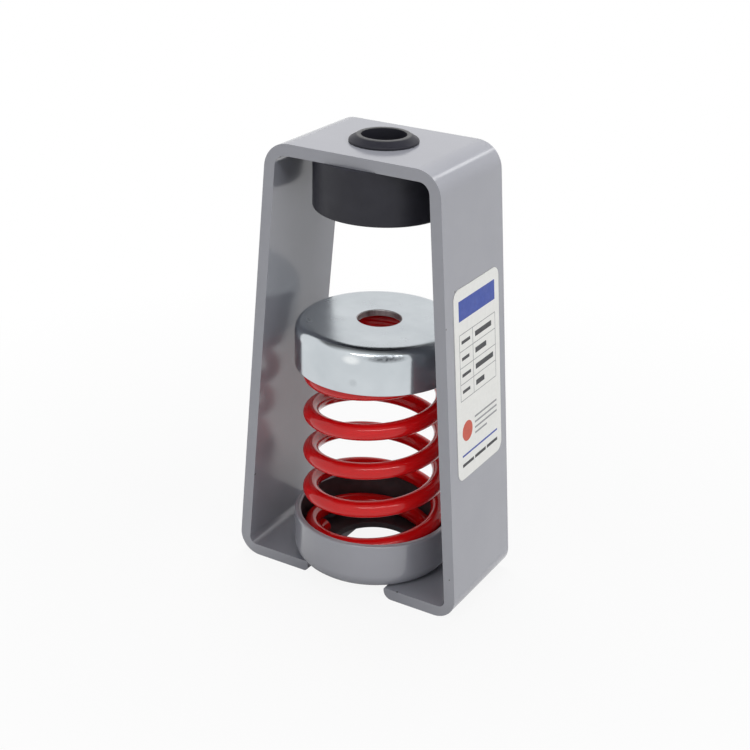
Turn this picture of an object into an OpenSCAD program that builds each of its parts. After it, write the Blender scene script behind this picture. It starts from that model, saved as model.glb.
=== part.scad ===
// Spring vibration isolator of the hanging kind: a folded strap frame with a rubber bush in its
// top plate, and a coil spring that stands in a cup on its foot tabs and carries a sliding cap.
// Millimetres. The frame stands on z = 0, +Z is up and the wide open side faces -Y.

/* [Strap frame] */
// Overall height of the frame
frame_h = 136; // [125:1:165]
// Width across the sharp outer corners at the top
top_w = 55.5; // [52:0.5:68]
// Width across the sharp outer corners at the foot
foot_w = 78; // [70:0.5:95]
// Width of the strap
strap_w = 36; // [30:0.5:46]
// Thickness of the strap
strap_t = 3.5; // [2.5:0.1:4.5]
// Inside radius of the two upper bends
top_bend_r = 3.5; // [1:0.25:5]
// Inside radius of the two lower bends
foot_bend_r = 2.25; // [1:0.25:6]
// Extra radius on the outside of the bends, where the strap is stretched thinner
bend_ease = 1; // [0:0.25:2]
// Gap between the ends of the two foot tabs
tab_gap = 27.5; // [20:0.5:34]
// How far that gap lies off the middle, towards the right leg
tab_gap_x = 0.5; // [-1:0.1:1]
// Rolled-over lower corner on the end of the left foot tab
left_tab_r = 1.5; // [0.5:0.25:3]
// Rolled-over lower corner on the end of the right foot tab
right_tab_r = 2.75; // [0.5:0.25:3]

/* [Spring] */
// Wire diameter
wire_d = 5; // [3.5:0.1:6]
// Outside diameter of the coils
coil_od = 45; // [36:0.5:50]
// Free length between the ground ends
spring_l = 75; // [60:0.5:85]
// Turns from tip to tip
spring_turns = 6.79; // [5:0.01:8]
// Plan angle of the lower tip
tip_angle = 185; // [0:1:360]
// Part of a turn that is ground flat at each end
ground_turn = 0.65; // [0.5:0.01:0.7]
// Gap between each tip and the turn that closes on to it
close_gap = 0.2; // [0.1:0.05:0.5]
// Room between the ground ends and the bend round the floor of the cup
seat_clearance = 0.1; // [0.05:0.05:0.5]
// Turns from each tip at which the drawn-in end coil starts to widen
widen_from = 0.3; // [0.2:0.05:0.5]
// Turns from each tip at which the coil has its full size
widen_to = 1.5; // [1:0.05:2]

/* [Cup and cap] */
// Room between the coils and the wall around them
coil_clearance = 0.5; // [0.2:0.1:2]
// Sheet thickness of the cup and the cap
sheet_t = 2; // [1:0.1:2.5]
// Height of the cup
cup_h = 15.5; // [12:0.5:22]
// Outside bend radius round the foot of the cup
cup_bend_r = 5; // [3:0.25:7]
// Hole in the floor of the cup, wide enough for the rod to swing
cup_hole_d = 26; // [18:0.5:30]
// Height of the cap
cap_h = 14; // [10:0.5:20]
// Outside bend radius round the top of the cap
cap_bend_r = 3.75; // [2.6:0.05:5]

/* [Rubber bush] */
// Bore for the rod, in the bush and in the cap
rod_bore_d = 13; // [8.5:0.5:14]
// Diameter of the block below the top plate
block_d = 40; // [30:0.5:43]
// Height of the block
block_h = 15.5; // [8:0.5:25]
// Rounding of the lower edge of the block
block_edge_r = 1; // [0.5:0.25:3]
// Diameter of the neck that passes through the top plate
neck_d = 16.6; // [15.6:0.1:20]
// Room round the neck in its hole
neck_clearance = 0.2; // [0.1:0.05:0.5]
// How far the lip reaches past the neck, all round
lip_overhang = 1.7; // [0.8:0.1:4]
// Height of the lip above the top plate
lip_h = 2.2; // [1:0.1:5]
// Height of the upright edge of the lip
lip_edge_h = 0.7; // [0.2:0.1:0.9]
// Width of the flat ring on top of the lip
lip_land = 0.8; // [0.2:0.1:1]
// Bevel at both mouths of the bore
bore_bevel = 0.3; // [0.1:0.1:0.5]

/* [Label] */
// Width of the label across the strap
label_w = 27.5; // [15:0.5:28]
// Length of the label along the leg
label_l = 58; // [30:0.5:80]
// Thickness of the label
label_t = 0.15; // [0.1:0.05:0.3]
// Thickness of the glue under the label
glue_t = 0.02; // [0.01:0.01:0.05]
// Corner radius of the label
label_r = 3; // [1:0.25:5]
// Height of the label's middle
label_z = 72.4; // [60:0.5:80]
// Offset of the label from the middle of the strap
label_y = 0.5; // [-0.5:0.1:0.5]

/* [Hidden] */
$fn = 96;

// Lean of the legs from upright, and the sharp inner corners of the folded strap
lean = atan((foot_w - top_w) / 2 / frame_h);
inner_top_x = top_w / 2 + strap_t * tan(lean) - strap_t / cos(lean);
inner_foot_x = foot_w / 2 - strap_t * tan(lean) - strap_t / cos(lean);
bend_steps = 12;
top_outer_r = top_bend_r + strap_t + bend_ease;
foot_outer_r = foot_bend_r + strap_t + bend_ease;
// How far a cut runs past the face that it opens
cut_margin = 1;

// Heights at which the pieces seat
plate_z = frame_h - strap_t;
cup_z = strap_t;
spring_z = cup_z + sheet_t;
spring_top_z = spring_z + spring_l;
cap_top_z = spring_top_z + sheet_t;

// Cup and cap close round the coils with the same clearance
shell_r = coil_od / 2 + coil_clearance + sheet_t;

// The neck hole takes its size from the neck, and the lip covers it
neck_hole_d = neck_d + 2 * neck_clearance;
lip_r = neck_d / 2 + lip_overhang;
land_r = rod_bore_d / 2 + bore_bevel + lip_land;

// Centre line of the wire: each tip starts near its ground face, the first turn closes on to the
// tip, and the turns between the two closed ends share the rest of the length
coil_r = (coil_od - wire_d) / 2;
tip_rise = 0.3 * wire_d;
closed_h = tip_rise + wire_d + close_gap;
pitch = (spring_l - 2 * closed_h) / (spring_turns - 2);
// The end coils are drawn in until their ground faces lie on the flat floor of the cup
tip_face_w = 2 * sqrt(pow(wire_d / 2, 2) - pow(tip_rise, 2));
tip_r = shell_r - cup_bend_r - seat_clearance - tip_face_w / 2;
turn_steps = 36;
wire_sides = 12;
ring_count = ceil(spring_turns * turn_steps) + 1;

function ramp(t) = t * t * (3 - 2 * t);

// Height of the centre line above its own end, t turns from the tip
function end_rise(t) =
    t < ground_turn
        ? tip_rise + (wire_d / 2 - tip_rise) * t / ground_turn
        : wire_d / 2 + (closed_h - wire_d / 2) * (t - ground_turn) / (1 - ground_turn);

function wire_z(t) =
    t < 1 ? end_rise(t)
    : t > spring_turns - 1 ? spring_l - end_rise(spring_turns - t)
    : closed_h + pitch * (t - 1);

function widened(t) = ramp(max(0, min(1, (t - widen_from) / (widen_to - widen_from))));

function wire_r(t) = tip_r + (coil_r - tip_r) * widened(min(t, spring_turns - t));

// One ring of points round the wire, cut off flat at the two ground faces
function wire_ring(t) = [
    for (side = [0 : wire_sides - 1])
        let (
            a = 360 * side / wire_sides,
            r = wire_r(t) + wire_d / 2 * cos(a),
            z = min(spring_l, max(0, wire_z(t) + wire_d / 2 * sin(a))),
            turn = tip_angle + 360 * t
        )
        [r * cos(turn), r * sin(turn), z]
];

// The arc that rounds corner i of a clockwise outline with radius r
function unit(v) = v / norm(v);
function corner_arc(points, i, r) =
    let (
        n = len(points),
        corner = points[i],
        back = unit(points[(i + n - 1) % n] - corner),
        ahead = unit(points[(i + 1) % n] - corner),
        half = acos(back * ahead) / 2,
        centre = corner + r / sin(half) * unit(back + ahead),
        start = corner + r / tan(half) * back - centre,
        from = atan2(start[1], start[0]),
        sweep = 180 - 2 * half
    )
    [
        for (step = [0 : bend_steps])
            let (a = from - sweep * step / bend_steps)
            centre + r * [cos(a), sin(a)]
    ];

// A clockwise outline with its corners rounded
module rounded_outline(points, radii) {
    polygon([for (i = [0 : len(points) - 1]) each corner_arc(points, i, radii[i])]);
}

// The four corners of the frame's outline seen from the front, from half widths and heights
function frame_corners(top_x, top_z, foot_x, foot_z) =
    [[-foot_x, foot_z], [-top_x, top_z], [top_x, top_z], [foot_x, foot_z]];

// What the round on a foot tab's end leaves out, with the tab's lower corner at the origin and
// the tab itself towards +X
module tab_end_waste(r) {
    translate([-cut_margin, -cut_margin])
        difference() {
            square(r + cut_margin);
            translate([r + cut_margin, r + cut_margin])
                circle(r);
        }
}

module strap_profile() {
    difference() {
        rounded_outline(
            frame_corners(top_w / 2, frame_h, foot_w / 2, 0),
            [foot_outer_r, top_outer_r, top_outer_r, foot_outer_r]
        );
        rounded_outline(
            frame_corners(inner_top_x, plate_z, inner_foot_x, strap_t),
            [foot_bend_r, top_bend_r, top_bend_r, foot_bend_r]
        );
        translate([tab_gap_x - tab_gap / 2, -cut_margin])
            square([tab_gap, strap_t + 2 * cut_margin]);
        translate([tab_gap_x - tab_gap / 2, 0])
            mirror([1, 0])
                tab_end_waste(left_tab_r);
        translate([tab_gap_x + tab_gap / 2, 0])
            tab_end_waste(right_tab_r);
    }
}

module bracket() {
    color("slategray")
        difference() {
            rotate([90, 0, 0])
                linear_extrude(strap_w, center = true)
                    strap_profile();
            translate([0, 0, plate_z - cut_margin])
                cylinder(d = neck_hole_d, h = strap_t + 2 * cut_margin);
        }
}

// A pressed round cup standing on z = 0, open at the top, with a hole in its floor
module pressed_cup(height, bend_r, hole_d) {
    rotate_extrude() {
        translate([hole_d / 2, 0])
            square([shell_r - bend_r - hole_d / 2, sheet_t]);
        translate([shell_r - bend_r, bend_r])
            intersection() {
                difference() {
                    circle(bend_r);
                    circle(bend_r - sheet_t);
                }
                translate([0, -bend_r])
                    square(bend_r);
            }
        translate([shell_r - sheet_t, bend_r])
            square([sheet_t, height - bend_r]);
    }
}

module base_cup() {
    color("slategray")
        translate([0, 0, cup_z])
            pressed_cup(cup_h, cup_bend_r, cup_hole_d);
}

module spring_cap() {
    color("lightsteelblue")
        translate([0, 0, cap_top_z])
            mirror([0, 0, 1])
                pressed_cup(cap_h, cap_bend_r, rod_bore_d);
}

module coil_spring() {
    n = wire_sides;
    last = ring_count - 1;
    points = [
        for (i = [0 : last])
            each wire_ring(spring_turns * i / last)
    ];
    sides = [
        for (i = [0 : last - 1], j = [0 : n - 1])
            let (k = (j + 1) % n)
            each [
                [i * n + j, i * n + k, (i + 1) * n + k],
                [i * n + j, (i + 1) * n + k, (i + 1) * n + j]
            ]
    ];
    first_face = [for (j = [n - 1 : -1 : 0]) j];
    last_face = [for (j = [0 : n - 1]) last * n + j];
    color("firebrick")
        translate([0, 0, spring_z])
            polyhedron(points, concat([first_face, last_face], sides));
}

module rubber_bush() {
    bore_r = rod_bore_d / 2;
    low_z = plate_z - block_h;
    top_z = frame_h + lip_h;
    color("dimgray")
        rotate_extrude()
            polygon(concat(
                [[bore_r + bore_bevel, low_z]],
                [
                    for (a = [-90 : 90 / 6 : 0])
                        [
                            block_d / 2 - block_edge_r + block_edge_r * cos(a),
                            low_z + block_edge_r + block_edge_r * sin(a)
                        ]
                ],
                [
                    [block_d / 2, plate_z],
                    [neck_d / 2, plate_z],
                    [neck_d / 2, frame_h],
                    [lip_r, frame_h],
                    [lip_r, frame_h + lip_edge_h],
                    [land_r, top_z],
                    [bore_r + bore_bevel, top_z],
                    [bore_r, top_z - bore_bevel],
                    [bore_r, low_z + bore_bevel]
                ]
            ));
}

module label() {
    x = label_w / 2 - label_r;
    z = label_l / 2 - label_r;
    leg_x = top_w / 2 + (frame_h - label_z) * tan(lean);
    color("white")
        translate([leg_x, label_y, label_z])
            rotate([0, -lean, 0])
                translate([glue_t, 0, 0])
                    rotate([90, 0, 90])
                        linear_extrude(label_t)
                            hull()
                                for (sx = [-x, x], sz = [-z, z])
                                    translate([sx, sz])
                                        circle(label_r, $fn = 32);
}

bracket();
base_cup();
coil_spring();
spring_cap();
rubber_bush();
label();
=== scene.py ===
# Looks of a hanging spring vibration isolator: painted strap frame and cup, red coil spring,
# zinc-plated cap, rubber bush and a plain printed label, in a white studio.
import math

import bmesh
import bpy
import numpy as np
from mathutils import Matrix, Vector


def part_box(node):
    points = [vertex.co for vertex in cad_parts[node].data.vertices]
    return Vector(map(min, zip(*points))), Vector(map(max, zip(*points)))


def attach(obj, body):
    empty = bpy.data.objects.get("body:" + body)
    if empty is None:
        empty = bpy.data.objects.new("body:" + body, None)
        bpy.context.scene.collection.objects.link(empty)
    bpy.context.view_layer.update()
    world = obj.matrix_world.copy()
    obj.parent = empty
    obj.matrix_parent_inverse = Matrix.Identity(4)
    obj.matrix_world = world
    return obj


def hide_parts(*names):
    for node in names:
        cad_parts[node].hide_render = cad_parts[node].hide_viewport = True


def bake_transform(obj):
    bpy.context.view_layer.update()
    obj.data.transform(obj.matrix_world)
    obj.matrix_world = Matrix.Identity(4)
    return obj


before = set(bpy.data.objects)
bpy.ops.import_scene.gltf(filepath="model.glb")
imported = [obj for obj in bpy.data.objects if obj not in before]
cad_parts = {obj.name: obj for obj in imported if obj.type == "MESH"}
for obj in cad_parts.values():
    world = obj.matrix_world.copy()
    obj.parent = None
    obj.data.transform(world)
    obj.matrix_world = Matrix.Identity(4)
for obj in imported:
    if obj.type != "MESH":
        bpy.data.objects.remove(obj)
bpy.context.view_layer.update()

MM = 0.001

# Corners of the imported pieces' boxes, in millimetres like every size of a piece below
BRACKET_LOW, BRACKET_HIGH = (Vector(c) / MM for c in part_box("bracket"))
CUP_LOW, CUP_HIGH = (Vector(c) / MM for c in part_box("base_cup"))
CAP_LOW, CAP_HIGH = (Vector(c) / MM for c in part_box("spring_cap"))
SPRING_LOW, SPRING_HIGH = (Vector(c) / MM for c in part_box("coil_spring"))
BUSH_LOW, BUSH_HIGH = (Vector(c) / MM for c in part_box("rubber_bush"))

# Folded strap: the bends' inner radii, how much wider they are outside, and the two tabs' ends
FRAME_H = BRACKET_HIGH.z
STRAP_W = BRACKET_HIGH.y - BRACKET_LOW.y
STRAP_T = 3.5
TOP_W = 55.5
FOOT_W = 78.0
TOP_BEND_R = 3.5
FOOT_BEND_R = 2.25
BEND_EASE = 1.0
TAB_GAP = 27.5
TAB_GAP_X = 0.5
LEFT_TAB_R = 1.5
RIGHT_TAB_R = 2.75
TAB_LIP_R = 0.4
STRAP_EDGE_R = 0.7
NECK_HOLE_R = 8.5
CUTTER_L = 4 * STRAP_T
LEAN = math.atan((FOOT_W - TOP_W) / 2 / FRAME_H)

# Pressed cup and cap
SHEET_T = 2.0
CUP_BEND_R = 5.0
CUP_HOLE_R = 13.0
CAP_BEND_R = 3.75
ROD_BORE_R = 6.5
CUT_EDGE_R = 0.35
RIM_EDGE_R = 0.7
EDGE_ROOM = 0.05

# Coil spring: its end coils are ground flat, closed, and drawn in from the coil's radius to the tip's
WIRE_D = 5.0
COIL_R = (SPRING_HIGH.x - SPRING_LOW.x - WIRE_D) / 2
SPRING_L = SPRING_HIGH.z - SPRING_LOW.z
SPRING_TURNS = 6.79
TIP_ANGLE = math.radians(185)
WIDEN_FROM = 0.3
WIDEN_TO = 1.5
SEAT_CLEARANCE = 0.1
GROUND_TURN = 0.65
TIP_RISE = 0.3 * WIRE_D
CLOSE_GAP = 0.2
CLOSED_H = TIP_RISE + WIRE_D + CLOSE_GAP
TIP_FACE_W = 2 * math.sqrt((WIRE_D / 2) ** 2 - TIP_RISE ** 2)
TIP_R = CUP_HIGH.x - CUP_BEND_R - SEAT_CLEARANCE - TIP_FACE_W / 2

# Rubber bush: its lip slopes from the edge up to a flat land round the bore
NECK_R = 8.3
LIP_R = 10.0
LIP_EDGE_H = 0.7
LAND_R = 7.6
BLOCK_EDGE_R = 1.0
BORE_FOOT_R = 0.5
BORE_RIM_R = 0.2
LIP_FOOT_R = 0.3
LIP_EDGE_R = 0.5

# Label on the right leg, stuck on with a film of glue
LABEL_W = 27.5
LABEL_L = 58.0
LABEL_T = 0.15
LABEL_R = 3.0
LABEL_Z = 72.4
LABEL_Y = 0.5
GLUE_T = 0.02
INK_T = 0.01

# Print on the label, from its middle: u runs up the leg and v to the back
PRINT_HALF_W = 11.0
RULE_H = 0.22
BAND_U, BAND_H = 22.5, 6.0
TABLE_TOP_U, TABLE_ROW_H, TABLE_SPLIT_V = 15.5, 5.0, -3.0
NAME_V, NAME_H = -9.8, 1.0
NAME_ENDS_V = (-4.6, -5.3, -4.6, -5.3)
VALUE_V, VALUE_H = -1.6, 1.6
VALUE_ENDS_V = (8.6, 5.2, 9.4, 3.6)
NOTE_U, NOTE_STEP, NOTE_H = -12.1, 1.7, 0.6
NOTE_ENDS_V = (PRINT_HALF_W, PRINT_HALF_W, PRINT_HALF_W, 4.5)
LINE_U, LINE_H = -21.7, 0.6
FOOTER_U, FOOTER_H = -24.7, 1.0
FOOTER_BARS, FOOTER_STEP, FOOTER_BAR_W = 3, 7.6, 6.8
SPOT_U, SPOT_V, SPOT_R, SPOT_SIDES = -14.6, -7.6, 3.1, 40

# Small chips in the frame's paint: where, and how far they reach
PAINT_CHIPS = [
    ((30.6, -11.9, 101.3), 0.45),
    ((31.4, -17.6, 92.2), 0.40),
    ((36.3, -17.9, 13.8), 0.45),
    ((-33.1, -17.6, 28.4), 0.60),
    ((18.9, -17.8, 3.6), 0.60),
    ((-24.6, 17.6, 136.0), 0.50),
]

# Marks on the cap's wall: where, and how far they reach along the axes; the dent's patch also holds a
# painted highlight
SCUFF_SPOT, SCUFF_HALF, SCUFF_TURN = (14.2, -20.2, 80.2), (7.6, 3.0, 1.5), 35
SMUDGE_SPOT, SMUDGE_HALF = (5.9, -24.3, 72.2), (1.7, 1.7, 1.7)
DENT_SPOT, DENT_HALF, DENT_DEPTH = (5.2, -24.4, 79.2), (3.6, 2.8, 1.8), 0.10

# How far below the top the cap's hazy flat and the bush's painted highlight round its rim begin, and
# the highlight is full
FLAT_FADE = 0.4
RIM_FADE_FROM, RIM_FADE_TO = 0.25, 0.05

# Camera: where it looks, from how far, its angles and its lens
VIEW_AIM = Vector((-1.045, 0.0, 63.75)) * MM
VIEW_DISTANCE = 442.97 * MM
VIEW_AZIMUTH = math.radians(30.21)
VIEW_ELEVATION = math.radians(24.48)
VIEW_ROLL = math.radians(1.39)
LENS_MM = 70.66
SENSOR_MM = 36.0
CLIP_START = 0.01

# Soft boxes in metres: name, place, width and height, watts, and whether reflections show them
SOFTBOXES = [
    ("top_softbox", (-0.12, 0.15, 1.00), (0.4, 0.4), 6.4, False),
    ("right_softbox", (1.10, 0.00, 0.42), (1.0, 1.4), 9.7, False),
    ("front_softbox", (-0.50, -1.30, 0.45), (2.6, 1.0), 6.0, False),
    ("front_strip", (0.33, -0.68, 0.86), (1.1, 0.07), 3.2, True),
    ("rim_softbox", (0.29, 1.02, 0.69), (0.13, 0.13), 0.12, True),
]
SOFTBOX_AIM = (0, 0, FRAME_H / 2 * MM)

# Room: its fill light, and the grey ceiling that reflections show. It begins where a ray's direction
# rises between the wall values, and it fades in from the white front between the front values
FILL_LEVEL = 0.10
CEILING_LEVEL = 0.16
WALL_TOP_FROM, WALL_TOP_TO = 0.66, 0.76
FRONT_FROM, FRONT_TO = -0.62, -0.10

# Floor in metres: its half width, and how white it looks near the object, with the distances
# from the object's axis between which it goes over to full white
FLOOR_HALF = 3.0
FLOOR_SEEN = (0.90, 0.08, 0.25)
FLOOR_MIRRORED = (0.15, 0.025, 0.045)


# Shapes


def rounded(corners, steps=8):
    """Points of a closed outline whose corners (x, y, radius) are rounded by arcs."""
    points = []
    for i, (x, y, radius) in enumerate(corners):
        corner = Vector((x, y))
        if radius == 0:
            points.append(corner)
            continue
        back = (Vector(corners[i - 1][:2]) - corner).normalized()
        ahead = (Vector(corners[(i + 1) % len(corners)][:2]) - corner).normalized()
        half = math.acos(max(-1.0, min(1.0, back.dot(ahead)))) / 2
        centre = corner + (back + ahead).normalized() * radius / math.sin(half)
        start = corner + back * radius / math.tan(half) - centre
        turn = math.pi - 2 * half
        if back.x * ahead.y - back.y * ahead.x > 0:
            turn = -turn
        for step in range(steps + 1):
            angle = turn * step / steps
            swung = Vector((
                start.x * math.cos(angle) - start.y * math.sin(angle),
                start.x * math.sin(angle) + start.y * math.cos(angle),
            ))
            points.append(centre + swung)
    return points


def piece(name, bm, sharp_deg=35):
    """A smooth-shaded object in metres from a mesh in millimetres, with clean outward normals."""
    bmesh.ops.recalc_face_normals(bm, faces=bm.faces)
    bmesh.ops.scale(bm, vec=Vector((MM, MM, MM)), verts=bm.verts)
    mesh = bpy.data.meshes.new(name)
    bm.to_mesh(mesh)
    bm.free()
    mesh.shade_smooth()
    mesh.set_sharp_from_angle(angle=math.radians(sharp_deg))
    obj = bpy.data.objects.new(name, mesh)
    bpy.context.scene.collection.objects.link(obj)
    return obj


def weighted_normals(obj):
    """Keeps flat faces flat in the shading, next to their rounded edges."""
    modifier = obj.modifiers.new("weighted_normals", "WEIGHTED_NORMAL")
    modifier.keep_sharp = True


def extruded(outline, place):
    """A closed bmesh between the outlines that place(point, 0) and place(point, 1) give."""
    bm = bmesh.new()
    rings = [[bm.verts.new(place(p, end)) for p in outline] for end in (0, 1)]
    bm.faces.new(rings[0])
    bm.faces.new(rings[1])
    for i in range(len(outline)):
        j = (i + 1) % len(outline)
        bm.faces.new((rings[0][i], rings[0][j], rings[1][j], rings[1][i]))
    return bm


def revolved(outline, segments=160):
    """A bmesh of a closed outline (radius, height) turned about the Z axis."""
    bm = bmesh.new()
    rings = []
    for i in range(segments):
        angle = 2 * math.pi * i / segments
        cos, sin = math.cos(angle), math.sin(angle)
        rings.append([bm.verts.new((p.x * cos, p.x * sin, p.y)) for p in outline])
    for i in range(segments):
        here, there = rings[i], rings[(i + 1) % segments]
        for j in range(len(outline)):
            k = (j + 1) % len(outline)
            bm.faces.new((here[j], there[j], there[k], here[k]))
    return bm


def cut_hole(obj, radius, height):
    """Cuts a round vertical hole on the Z axis through the plate at that height."""
    bm = bmesh.new()
    bmesh.ops.create_cone(
        bm, segments=96, radius1=radius * MM, radius2=radius * MM, depth=CUTTER_L * MM, cap_ends=True
    )
    cutter_mesh = bpy.data.meshes.new("hole_cutter")
    bm.to_mesh(cutter_mesh)
    bm.free()
    cutter = bpy.data.objects.new("hole_cutter", cutter_mesh)
    cutter.location.z = height * MM
    bpy.context.scene.collection.objects.link(cutter)
    modifier = obj.modifiers.new("hole", "BOOLEAN")
    modifier.operation = "DIFFERENCE"
    modifier.object = cutter
    bpy.context.view_layer.update()
    cut = bpy.data.meshes.new_from_object(obj.evaluated_get(bpy.context.evaluated_depsgraph_get()))
    obj.modifiers.remove(modifier)
    obj.data = cut
    bpy.data.objects.remove(cutter)


# Pieces


def strap_half(tab_end, tab_r):
    """Corners (x, z, radius) of the strap's right half, down the outside and back up inside."""
    inner_top = TOP_W / 2 + STRAP_T * math.tan(LEAN) - STRAP_T / math.cos(LEAN)
    inner_foot = FOOT_W / 2 - STRAP_T * math.tan(LEAN) - STRAP_T / math.cos(LEAN)
    return [
        (TOP_W / 2, FRAME_H, TOP_BEND_R + STRAP_T + BEND_EASE),
        (FOOT_W / 2, 0.0, FOOT_BEND_R + STRAP_T + BEND_EASE),
        (tab_end, 0.0, tab_r),
        (tab_end, STRAP_T, TAB_LIP_R),
        (inner_foot, STRAP_T, FOOT_BEND_R),
        (inner_top, FRAME_H - STRAP_T, TOP_BEND_R),
    ]


def make_bracket():
    """The folded strap: an outline seen from the front, with rounded edges and the bush's hole."""
    right = strap_half(TAB_GAP / 2 + TAB_GAP_X, RIGHT_TAB_R)
    left = [(-x, z, r) for x, z, r in reversed(strap_half(TAB_GAP / 2 - TAB_GAP_X, LEFT_TAB_R))]
    outline = rounded(right + left, steps=14)
    bm = extruded(outline, lambda p, end: (p.x, STRAP_W * (end - 0.5), p.y))
    rims = [e for f in bm.faces if len(f.verts) > 4 for e in f.edges]
    bmesh.ops.bevel(
        bm, geom=rims, offset=STRAP_EDGE_R, segments=4, profile=0.5, affect="EDGES", clamp_overlap=False
    )
    obj = piece("strap_frame", bm)
    cut_hole(obj, NECK_HOLE_R, FRAME_H - STRAP_T / 2)
    weighted_normals(obj)
    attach(obj, "frame")
    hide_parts("bracket")
    return obj


def make_cup():
    """The pressed cup that the spring stands in; its hollow and its hole take the second material, a
    painted shade.
    """
    outer, inner = CUP_HIGH.x, CUP_HIGH.x - SHEET_T
    floor = CUP_LOW.z + SHEET_T
    outline = rounded([
        (CUP_HOLE_R, CUP_LOW.z, CUT_EDGE_R),
        (outer, CUP_LOW.z, CUP_BEND_R),
        (outer, CUP_HIGH.z, RIM_EDGE_R),
        (inner, CUP_HIGH.z, RIM_EDGE_R),
        (inner, floor, CUP_BEND_R - SHEET_T),
        (CUP_HOLE_R, floor, CUT_EDGE_R),
    ])
    obj = piece("spring_cup", revolved(outline))
    # Faces in the hollow and round the hole take the painted shade
    for face in obj.data.polygons:
        spot = face.center / MM
        reach = math.hypot(spot.x, spot.y)
        in_hole = reach < CUP_HOLE_R + CUT_EDGE_R
        in_hollow = reach < inner + EDGE_ROOM and spot.z > floor - EDGE_ROOM
        face.material_index = 1 if in_hole or in_hollow else 0
    weighted_normals(obj)
    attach(obj, "frame")
    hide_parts("base_cup")
    return obj


def make_cap():
    """The pressed cap on top of the spring, with the rod's hole, which takes the second material."""
    outer, inner = CAP_HIGH.x, CAP_HIGH.x - SHEET_T
    ceiling = CAP_HIGH.z - SHEET_T
    outline = rounded([
        (ROD_BORE_R, CAP_HIGH.z, CUT_EDGE_R),
        (outer, CAP_HIGH.z, CAP_BEND_R),
        (outer, CAP_LOW.z, CUT_EDGE_R),
        (inner, CAP_LOW.z, CUT_EDGE_R),
        (inner, ceiling, CAP_BEND_R - SHEET_T),
        (ROD_BORE_R, ceiling, CUT_EDGE_R),
    ])
    obj = piece("zinc_cap", revolved(outline))
    for face in obj.data.polygons:
        reach = math.hypot(face.center.x, face.center.y) / MM
        face.material_index = 1 if reach < ROD_BORE_R + CUT_EDGE_R else 0
    weighted_normals(obj)
    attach(obj, "cap")
    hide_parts("spring_cap")
    return obj


def make_bush():
    """The rubber moulding: block below the plate, neck through it and bevelled lip above."""
    plate = FRAME_H - STRAP_T
    outline = rounded([
        (ROD_BORE_R, BUSH_LOW.z, BORE_FOOT_R),
        (BUSH_HIGH.x, BUSH_LOW.z, BLOCK_EDGE_R),
        (BUSH_HIGH.x, plate, 0),
        (NECK_R, plate, 0),
        (NECK_R, FRAME_H, 0),
        (LIP_R, FRAME_H, LIP_FOOT_R),
        (LIP_R, FRAME_H + LIP_EDGE_H, LIP_EDGE_R),
        (LAND_R, BUSH_HIGH.z, LIP_EDGE_R),
        (ROD_BORE_R, BUSH_HIGH.z, BORE_RIM_R),
    ])
    obj = piece("bush_moulding", revolved(outline))
    weighted_normals(obj)
    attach(obj, "frame")
    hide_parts("rubber_bush")
    return obj


def ramp(t):
    """A smooth step, for t from 0 to 1."""
    return t * t * (3 - 2 * t)


def end_rise(t):
    """Height of the wire's centre above its own end of the spring, t turns from the tip."""
    if t < GROUND_TURN:
        return TIP_RISE + (WIRE_D / 2 - TIP_RISE) * t / GROUND_TURN
    return WIRE_D / 2 + (CLOSED_H - WIRE_D / 2) * (t - GROUND_TURN) / (1 - GROUND_TURN)


def wire_height(t):
    """Height of the wire's centre above the spring's foot, t turns from the lower tip."""
    if t < 1:
        return end_rise(t)
    if t > SPRING_TURNS - 1:
        return SPRING_L - end_rise(SPRING_TURNS - t)
    return CLOSED_H + (SPRING_L - 2 * CLOSED_H) * (t - 1) / (SPRING_TURNS - 2)


def wire_centre(t):
    """The wire's centre, t turns from the lower tip, with heights from the spring's foot."""
    widened = (min(t, SPRING_TURNS - t) - WIDEN_FROM) / (WIDEN_TO - WIDEN_FROM)
    radius = TIP_R + (COIL_R - TIP_R) * ramp(max(0, min(1, widened)))
    angle = TIP_ANGLE + 2 * math.pi * t
    return Vector((radius * math.cos(angle), radius * math.sin(angle), wire_height(t)))


def make_spring(turn_steps=72, wire_sides=28):
    """The coil: a round wire swept along its helix, cut flat at the two ground ends."""
    last = round(SPRING_TURNS * turn_steps)
    step = 0.5 / turn_steps
    bm = bmesh.new()
    rings, weights = [], []
    for i in range(last + 1):
        t = SPRING_TURNS * i / last
        centre = wire_centre(t)
        along = (wire_centre(min(SPRING_TURNS, t + step)) - wire_centre(max(0, t - step))).normalized()
        out = Vector((centre.x, centre.y, 0)).normalized()
        out = (out - along * out.dot(along)).normalized()
        up = along.cross(out)
        up = up if up.z > 0 else -up
        ring = []
        for side in range(wire_sides):
            angle = 2 * math.pi * side / wire_sides
            point = centre + (out * math.cos(angle) + up * math.sin(angle)) * WIRE_D / 2
            point.z = SPRING_LOW.z + min(SPRING_L, max(0, point.z))
            ring.append(bm.verts.new(point))
        rings.append(ring)
        share = (centre.z - CLOSED_H) / (SPRING_L - 2 * CLOSED_H)
        weights += [min(1, max(0, share))] * wire_sides
    for here, there in zip(rings, rings[1:]):
        for j in range(wire_sides):
            k = (j + 1) % wire_sides
            bm.faces.new((here[j], here[k], there[k], there[j]))
    bm.faces.new(rings[0])
    bm.faces.new(rings[-1])
    obj = piece("red_spring", bm)
    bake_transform(obj)
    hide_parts("coil_spring")
    return obj


def label_place(u, v, n):
    """A point u up the leg, v across it and n off its outer face, from the label's middle."""
    leg_x = TOP_W / 2 + (FRAME_H - LABEL_Z) * math.tan(LEAN)
    return Vector((
        leg_x - u * math.sin(LEAN) + n * math.cos(LEAN),
        LABEL_Y + v,
        LABEL_Z + u * math.cos(LEAN) + n * math.sin(LEAN),
    ))


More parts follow.
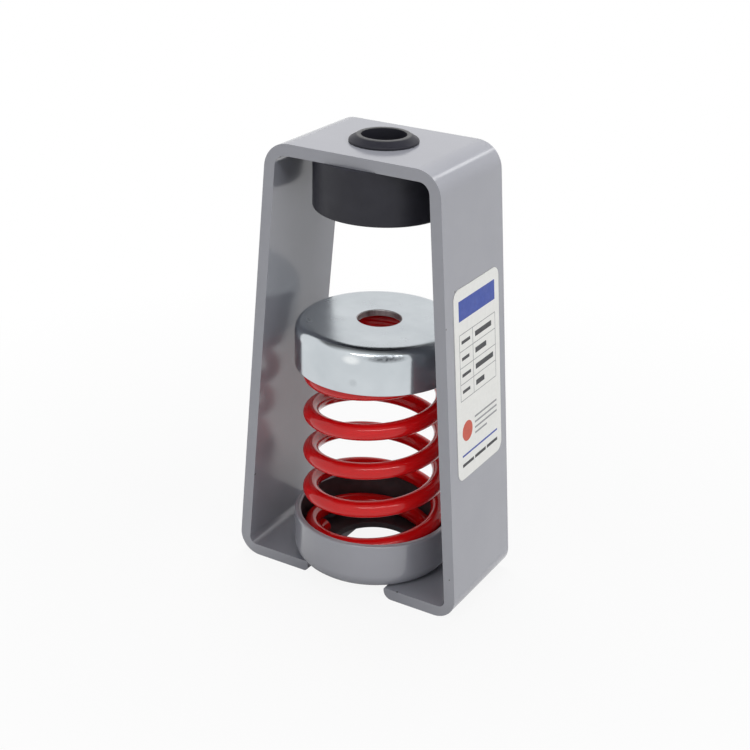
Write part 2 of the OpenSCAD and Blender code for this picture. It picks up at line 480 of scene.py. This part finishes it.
def print_bars():
    """The printed bars as (ink, middle u, height, low v, high v): band, table, notes and footer."""
    left, right = -PRINT_HALF_W, PRINT_HALF_W
    rows = len(NAME_ENDS_V)
    row_middles = [TABLE_TOP_U - TABLE_ROW_H * (row + 0.5) for row in range(rows)]
    yield "blue", BAND_U, BAND_H, left, right
    for row in range(rows + 1):
        yield "grey", TABLE_TOP_U - TABLE_ROW_H * row, RULE_H, left, right
    table_h = TABLE_ROW_H * rows
    for v in (left, TABLE_SPLIT_V, right):
        yield "grey", TABLE_TOP_U - table_h / 2, table_h, v - RULE_H / 2, v + RULE_H / 2
    for u, end in zip(row_middles, NAME_ENDS_V):
        yield "black", u, NAME_H, NAME_V, end
    for u, end in zip(row_middles, VALUE_ENDS_V):
        yield "black", u, VALUE_H, VALUE_V, end
    for i, end in enumerate(NOTE_ENDS_V):
        yield "grey", NOTE_U - NOTE_STEP * i, NOTE_H, TABLE_SPLIT_V, end
    yield "blue", LINE_U, LINE_H, left, right
    for i in range(FOOTER_BARS):
        start = left + FOOTER_STEP * i
        yield "black", FOOTER_U, FOOTER_H, start, start + FOOTER_BAR_W


def ink_fields():
    """The printed fields as (ink, outline): the bars and one round spot."""
    for ink, u, height, low_v, high_v in print_bars():
        low_u, high_u = u - height / 2, u + height / 2
        corners = ((low_u, low_v), (high_u, low_v), (high_u, high_v), (low_u, high_v))
        yield ink, [Vector(c) for c in corners]
    turns = [2 * math.pi * i / SPOT_SIDES for i in range(SPOT_SIDES)]
    yield "red", [Vector((SPOT_U + SPOT_R * math.cos(a), SPOT_V + SPOT_R * math.sin(a))) for a in turns]


def make_label():
    """The film label on the right leg, with plain printed fields; returns it and its inks in order."""
    half_w, half_l = LABEL_W / 2, LABEL_L / 2
    corners = ((-half_l, -half_w), (half_l, -half_w), (half_l, half_w), (-half_l, half_w))
    outline = rounded([(u, v, LABEL_R) for u, v in corners])
    bm = extruded(outline, lambda p, end: label_place(p.x, p.y, GLUE_T + end * LABEL_T))
    inks = ["film"]
    for ink, field in ink_fields():
        if ink not in inks:
            inks.append(ink)
        plate = extruded(field, lambda p, end: label_place(p.x, p.y, GLUE_T + LABEL_T + end * INK_T))
        for face in plate.faces:
            face.material_index = inks.index(ink)
        part = bpy.data.meshes.new("ink")
        plate.to_mesh(part)
        plate.free()
        bm.from_mesh(part)
        bpy.data.meshes.remove(part)
    obj = piece("film_label", bm)
    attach(obj, "frame")
    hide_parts("label")
    return obj, inks


# Shader nodes


def new_material(name, specular=0.5, metallic=0.0):
    """A material with one Principled shader; returns it, its tree and the shader."""
    material = bpy.data.materials.new(name)
    material.use_nodes = True
    tree = material.node_tree
    shader = tree.nodes["Principled BSDF"]
    shader.inputs["Specular IOR Level"].default_value = specular
    shader.inputs["Metallic"].default_value = metallic
    return material, tree, shader


def connect(tree, shader, colour, roughness, normal):
    """Links the three sockets of the shader that vary over a surface."""
    for key, value in (("Base Color", colour), ("Roughness", roughness), ("Normal", normal)):
        tree.links.new(value, shader.inputs[key])


def add(tree, kind, inputs=None, **settings):
    """A node with its settings, and its sockets set to values or linked to other nodes' outputs."""
    made = tree.nodes.new(kind)
    for key, value in settings.items():
        setattr(made, key, value)
    for key, value in (inputs or {}).items():
        if isinstance(value, bpy.types.NodeSocket):
            tree.links.new(value, made.inputs[key])
        else:
            made.inputs[key].default_value = value
    return made


def place_of(tree, kind="Object"):
    """Where a point lies on its object, or the direction of a ray that meets the world."""
    return add(tree, "ShaderNodeTexCoord").outputs[kind]


def split(tree, place):
    """The X, Y and Z of a place."""
    return add(tree, "ShaderNodeSeparateXYZ", {0: place}).outputs


def streaked(tree, place, share):
    """The place with its heights shrunk to a share, so that noise there makes upright streaks."""
    shrunk = add(tree, "ShaderNodeMapping", {"Vector": place, "Scale": (1.0, 1.0, share)})
    return shrunk.outputs["Vector"]


def noise(tree, place, feature_mm, detail=2.0):
    """Noise whose features are about that many millimetres across."""
    return add(tree, "ShaderNodeTexNoise", {
        "Vector": place, "Scale": 1 / (feature_mm * MM), "Detail": detail,
    }).outputs["Fac"]


def spread(tree, value, low, high, from_low=0.3, from_high=0.7):
    """The value stretched to low and high, from noise's usual range or another one."""
    return add(tree, "ShaderNodeMapRange", {
        "Value": value, "From Min": from_low, "From Max": from_high, "To Min": low, "To Max": high,
    }).outputs["Result"]


def uneven(tree, place, low, high, feature_mm, detail=2.0):
    """A value that wanders from low to high over about that many millimetres."""
    return spread(tree, noise(tree, place, feature_mm, detail), low, high)


def mixed(tree, share, first, second):
    """The first colour, going over to the second by the share."""
    made = add(tree, "ShaderNodeMix", {"Factor": share}, data_type="RGBA")
    for key, value in (("A", first), ("B", second)):
        socket = [s for s in made.inputs if s.name == key and s.type == "RGBA"][0]
        if isinstance(value, bpy.types.NodeSocket):
            tree.links.new(value, socket)
        else:
            socket.default_value = (*value, 1.0)
    return [s for s in made.outputs if s.type == "RGBA"][0]


def bumped(tree, layers):
    """A normal from bump layers (height, depth in millimetres, strength), laid over each other."""
    normal = None
    for height, depth_mm, strength in layers:
        inputs = {"Height": height, "Distance": depth_mm * MM, "Strength": strength}
        if normal is not None:
            inputs["Normal"] = normal
        normal = add(tree, "ShaderNodeBump", inputs).outputs["Normal"]
    return normal


def patch(tree, place, spot_mm, half_mm, turn_deg=0.0, core=0.25):
    """1 in the core of an oval patch on the surface, falling smoothly to 0 at its rim."""
    local = add(tree, "ShaderNodeMapping", {
        "Vector": place,
        "Location": Vector(spot_mm) * MM,
        "Rotation": (0.0, 0.0, math.radians(turn_deg)),
        "Scale": Vector(half_mm) * MM,
    }, vector_type="TEXTURE").outputs["Vector"]
    reach = add(tree, "ShaderNodeVectorMath", {0: local}, operation="LENGTH").outputs["Value"]
    return add(tree, "ShaderNodeMapRange", {
        "Value": reach, "From Min": core, "From Max": 1.0, "To Min": 1.0, "To Max": 0.0,
    }, interpolation_type="SMOOTHSTEP").outputs["Result"]


def product(tree, first, second):
    """One value times another."""
    return add(tree, "ShaderNodeMath", {0: first, 1: second}, operation="MULTIPLY").outputs[0]


def largest(tree, values):
    """The largest of several values."""
    top = values[0]
    for value in values[1:]:
        top = add(tree, "ShaderNodeMath", {0: top, 1: value}, operation="MAXIMUM").outputs[0]
    return top


# Materials


def grey_paint():
    """Semi-gloss bluish grey paint with a little orange peel and a few small chips."""
    material, tree, shader = new_material("grey_paint", specular=1.0)
    place = place_of(tree)
    blotches = uneven(tree, place, 0, 1, feature_mm=18, detail=3)
    colour = mixed(tree, blotches, (0.280, 0.286, 0.322), (0.296, 0.302, 0.338))
    ragged = uneven(tree, place, 0.2, 1.0, feature_mm=0.4, detail=3)
    chips = [patch(tree, place, spot, (reach,) * 3) for spot, reach in PAINT_CHIPS]
    chipped = product(tree, largest(tree, chips), ragged)
    bare = spread(tree, chipped, 0, 1, from_low=0.25, from_high=0.40)
    bare_steel = (0.10, 0.10, 0.105)
    colour = mixed(tree, bare, colour, bare_steel)
    roughness = uneven(tree, place, 0.13, 0.17, feature_mm=7)
    waves = noise(tree, place, 12, detail=1)
    peel = noise(tree, place, 2.4, detail=1)
    connect(tree, shader, colour, roughness, bumped(tree, [(waves, 0.12, 0.10), (peel, 0.02, 0.03)]))
    return material


def hollow_painted_shade():
    """Dark dull paint inside the cup and round its hole: painted shade for the cup's shadowed hollow.
    """
    material, tree, shader = new_material("hollow_painted_shade", specular=0.3)
    place = place_of(tree)
    blotches = uneven(tree, place, 0, 1, feature_mm=6, detail=4)
    colour = mixed(tree, blotches, (0.050, 0.049, 0.053), (0.075, 0.073, 0.079))
    roughness = uneven(tree, place, 0.38, 0.50, feature_mm=2)
    grain = noise(tree, place, 0.5)
    connect(tree, shader, colour, roughness, bumped(tree, [(grain, 0.02, 0.2)]))
    return material


def red_paint():
    """Gloss red paint on the wire, a little uneven in thickness."""
    material, tree, shader = new_material("red_paint", specular=0.37)
    place = place_of(tree)
    blotches = uneven(tree, place, 0, 1, feature_mm=9, detail=3)
    colour = mixed(tree, blotches, (0.64, 0.004, 0.005), (0.72, 0.006, 0.008))
    roughness = uneven(tree, place, 0.06, 0.09, feature_mm=4)
    runs = noise(tree, place, 3.0, detail=1)
    connect(tree, shader, colour, roughness, bumped(tree, [(runs, 0.05, 0.15)]))
    return material


def zinc_plate():
    """Bright bluish zinc on drawn sheet: cloudy, with draw marks, a dent with a painted highlight, a
    scuff and a smudge.
    """
    material, tree, shader = new_material("zinc_plate", metallic=1.0)
    place = place_of(tree)
    clouds = uneven(tree, place, 0, 1, feature_mm=11, detail=4)
    colour = mixed(tree, clouds, (0.53, 0.57, 0.60), (0.60, 0.64, 0.67))
    marks = noise(tree, streaked(tree, place, 0.08), 0.5, detail=3)
    scuff = patch(tree, place, SCUFF_SPOT, SCUFF_HALF, SCUFF_TURN)
    scuff = product(tree, scuff, uneven(tree, place, 0.5, 1.0, feature_mm=0.7, detail=3))
    smudge = patch(tree, place, SMUDGE_SPOT, SMUDGE_HALF)
    smudge = product(tree, smudge, spread(tree, clouds, 0.08, 0.16, from_low=0, from_high=1))
    dent_and_highlight = patch(tree, place, DENT_SPOT, DENT_HALF)
    # The dent's middle is painted pale: a painted highlight
    dent_painted_highlight = (0.80, 0.83, 0.84)
    soil = (0.06, 0.065, 0.075)
    colour = mixed(tree, dent_and_highlight, colour, dent_painted_highlight)
    colour = mixed(tree, largest(tree, [scuff, smudge]), colour, soil)
    gloss = uneven(tree, place, 0.13, 0.18, feature_mm=5, detail=3)
    height = split(tree, place)["Z"]
    flat = spread(tree, height, 0.0, 0.10, (CAP_HIGH.z - FLAT_FADE) * MM, CAP_HIGH.z * MM)
    haze = largest(tree, [flat, product(tree, scuff, spread(tree, marks, 0.2, 0.3))])
    roughness = add(tree, "ShaderNodeMath", {0: gloss, 1: haze}, operation="ADD").outputs[0]
    waves = noise(tree, place, 9, detail=1)
    pressed = spread(tree, dent_and_highlight, 1.0, 0.0, from_low=0, from_high=1)
    layers = [(waves, 0.10, 0.18), (marks, 0.01, 0.05), (pressed, DENT_DEPTH, 1.0)]
    connect(tree, shader, colour, roughness, bumped(tree, layers))
    return material


def punched_edge():
    """Dull sheared steel round the wall of the cap's hole, tinted pink: a painted reflection of the red
    spring.
    """
    material, tree, shader = new_material("punched_edge", metallic=1.0)
    tears = noise(tree, streaked(tree, place_of(tree), 0.1), 0.6, detail=3)
    # The pink tint is a painted reflection of the red spring
    colour = mixed(tree, spread(tree, tears, 0, 1), (0.30, 0.28, 0.28), (0.46, 0.43, 0.43))
    roughness = spread(tree, tears, 0.35, 0.55)
    connect(tree, shader, colour, roughness, bumped(tree, [(tears, 0.03, 0.4)]))
    return material


def black_rubber():
    """Satin moulded rubber with a fine grain, and a painted highlight: pale round the bore's upper rim.
    """
    material, tree, shader = new_material("black_rubber", specular=0.34)
    place = place_of(tree)
    bloom = uneven(tree, place, 0, 1, feature_mm=7, detail=4)
    colour = mixed(tree, bloom, (0.014, 0.014, 0.020), (0.021, 0.021, 0.029))
    height = split(tree, place)["Z"]
    rim_low, rim_high = (BUSH_HIGH.z - RIM_FADE_FROM) * MM, (BUSH_HIGH.z - RIM_FADE_TO) * MM
    # The bore's upper rim is painted pale: a painted highlight
    rim_painted_highlight = (0.09, 0.09, 0.092)
    colour = mixed(tree, spread(tree, height, 0.0, 1.0, rim_low, rim_high), colour, rim_painted_highlight)
    roughness = uneven(tree, place, 0.44, 0.54, feature_mm=3)
    grain = noise(tree, place, 0.3)
    connect(tree, shader, colour, roughness, bumped(tree, [(grain, 0.02, 0.2)]))
    return material


def label_film(name, low, high, gloss):
    """Printed film in one colour, with the faint unevenness of paper fibres under it."""
    material, tree, shader = new_material(name)
    place = place_of(tree)
    fibres = uneven(tree, place, 0, 1, feature_mm=1.2, detail=5)
    roughness = uneven(tree, place, gloss, gloss + 0.1, feature_mm=4)
    colour = mixed(tree, fibres, low, high)
    connect(tree, shader, colour, roughness, bumped(tree, [(fibres, 0.01, 0.2)]))
    return material


# Studio


def background_rays(tree):
    """1 for rays that show the background: from the camera, and from a gloss or through glass."""
    rays = add(tree, "ShaderNodeLightPath").outputs
    return rays["Is Camera Ray"], largest(tree, [rays["Is Glossy Ray"], rays["Is Transmission Ray"]])


def make_floor():
    """A wide pale floor that stays near white in the picture and keeps a soft shadow."""
    bm = bmesh.new()
    corners = [(x * FLOOR_HALF, y * FLOOR_HALF, 0) for x, y in ((-1, -1), (1, -1), (1, 1), (-1, 1))]
    bm.faces.new([bm.verts.new(c) for c in corners])
    mesh = bpy.data.meshes.new("studio_floor")
    bm.to_mesh(mesh)
    bm.free()
    floor = bpy.data.objects.new("studio_floor", mesh)
    bpy.context.scene.collection.objects.link(floor)
    material, tree, shader = new_material("pale_floor", specular=0.0)
    shader.inputs["Base Color"].default_value = (0.60, 0.60, 0.60, 1)
    shader.inputs["Roughness"].default_value = 0.9
    glow = add(tree, "ShaderNodeEmission", {"Color": (1, 1, 1, 1), "Strength": 1.0})
    away = add(tree, "ShaderNodeVectorMath", {0: place_of(tree)}, operation="LENGTH").outputs["Value"]
    shares = []
    for rays, whiteness in zip(background_rays(tree), (FLOOR_SEEN, FLOOR_MIRRORED)):
        near, white_from, white_to = whiteness
        shares.append(product(tree, rays, spread(tree, away, near, 1.0, white_from, white_to)))
    share = largest(tree, shares)
    blend = add(tree, "ShaderNodeMixShader", {0: share, 1: shader.outputs[0], 2: glow.outputs[0]})
    tree.links.new(blend.outputs[0], tree.nodes["Material Output"].inputs["Surface"])
    floor.data.materials.append(material)


def make_world():
    """White to the eye and a plain soft fill as light; reflections show a white room.

    The room's ceiling is grey and gets lighter towards the front.
    """
    world = bpy.data.worlds.new("studio")
    bpy.context.scene.world = world
    world.use_nodes = True
    tree = world.node_tree
    seen, mirrored = background_rays(tree)
    towards = split(tree, place_of(tree, "Generated"))
    walls = spread(tree, towards["Z"], 1.0, CEILING_LEVEL, WALL_TOP_FROM, WALL_TOP_TO)
    front = spread(tree, towards["Y"], 1.0, CEILING_LEVEL, FRONT_FROM, FRONT_TO)
    room = largest(tree, [walls, front])
    strength = largest(tree, [spread(tree, mirrored, FILL_LEVEL, room, from_low=0, from_high=1), seen])
    background = tree.nodes["Background"]
    background.inputs["Color"].default_value = (1, 1, 1, 1)
    tree.links.new(strength, background.inputs["Strength"])


def add_softbox(name, place, size, watts, mirrored):
    """A soft light of some width and height at a place, turned towards the object's middle."""
    lamp = bpy.data.lights.new(name, "AREA")
    lamp.shape = "RECTANGLE"
    lamp.size, lamp.size_y = size
    lamp.energy = watts
    obj = bpy.data.objects.new(name, lamp)
    obj.location = place
    obj.rotation_euler = (Vector(SOFTBOX_AIM) - Vector(place)).to_track_quat("-Z", "Y").to_euler()
    obj.visible_camera = False
    obj.visible_glossy = mirrored
    bpy.context.scene.collection.objects.link(obj)


def add_camera():
    """The camera at the photograph's viewing angle."""
    back = Vector((
        math.sin(VIEW_AZIMUTH) * math.cos(VIEW_ELEVATION),
        -math.cos(VIEW_AZIMUTH) * math.cos(VIEW_ELEVATION),
        math.sin(VIEW_ELEVATION),
    ))
    right = Vector((math.cos(VIEW_AZIMUTH), math.sin(VIEW_AZIMUTH), 0))
    up = back.cross(right)
    turned_right = right * math.cos(VIEW_ROLL) + up * math.sin(VIEW_ROLL)
    turned_up = up * math.cos(VIEW_ROLL) - right * math.sin(VIEW_ROLL)
    data = bpy.data.cameras.new("camera")
    data.lens = LENS_MM
    data.sensor_width = SENSOR_MM
    data.clip_start = CLIP_START
    camera = bpy.data.objects.new("camera", data)
    turn = Matrix((turned_right, turned_up, back)).transposed().to_4x4()
    camera.matrix_world = Matrix.Translation(VIEW_AIM + back * VIEW_DISTANCE) @ turn
    bpy.context.scene.collection.objects.link(camera)
    bpy.context.scene.camera = camera


add_camera()
make_floor()
make_world()
for softbox in SOFTBOXES:
    add_softbox(*softbox)

INKS = {
    "film": label_film("film_white", (0.77, 0.77, 0.745), (0.81, 0.81, 0.785), gloss=0.35),
    "blue": label_film("ink_blue", (0.02, 0.05, 0.30), (0.03, 0.07, 0.36), gloss=0.4),
    "black": label_film("ink_black", (0.02, 0.02, 0.025), (0.04, 0.04, 0.045), gloss=0.45),
    "grey": label_film("ink_grey", (0.25, 0.25, 0.26), (0.30, 0.30, 0.31), gloss=0.45),
    "red": label_film("ink_red", (0.50, 0.06, 0.03), (0.56, 0.08, 0.04), gloss=0.4),
}
grey = grey_paint()
finished = [
    (make_bracket(), [grey]),
    (make_cup(), [grey, hollow_painted_shade()]),
    (make_spring(), [red_paint()]),
    (make_cap(), [zinc_plate(), punched_edge()]),
    (make_bush(), [black_rubber()]),
]
label, label_inks = make_label()
finished.append((label, [INKS[ink] for ink in label_inks]))
for obj, materials in finished:
    for material in materials:
        obj.data.materials.append(material)

bpy.context.scene.view_settings.view_transform = "Standard"

bpy.context.view_layer.update()
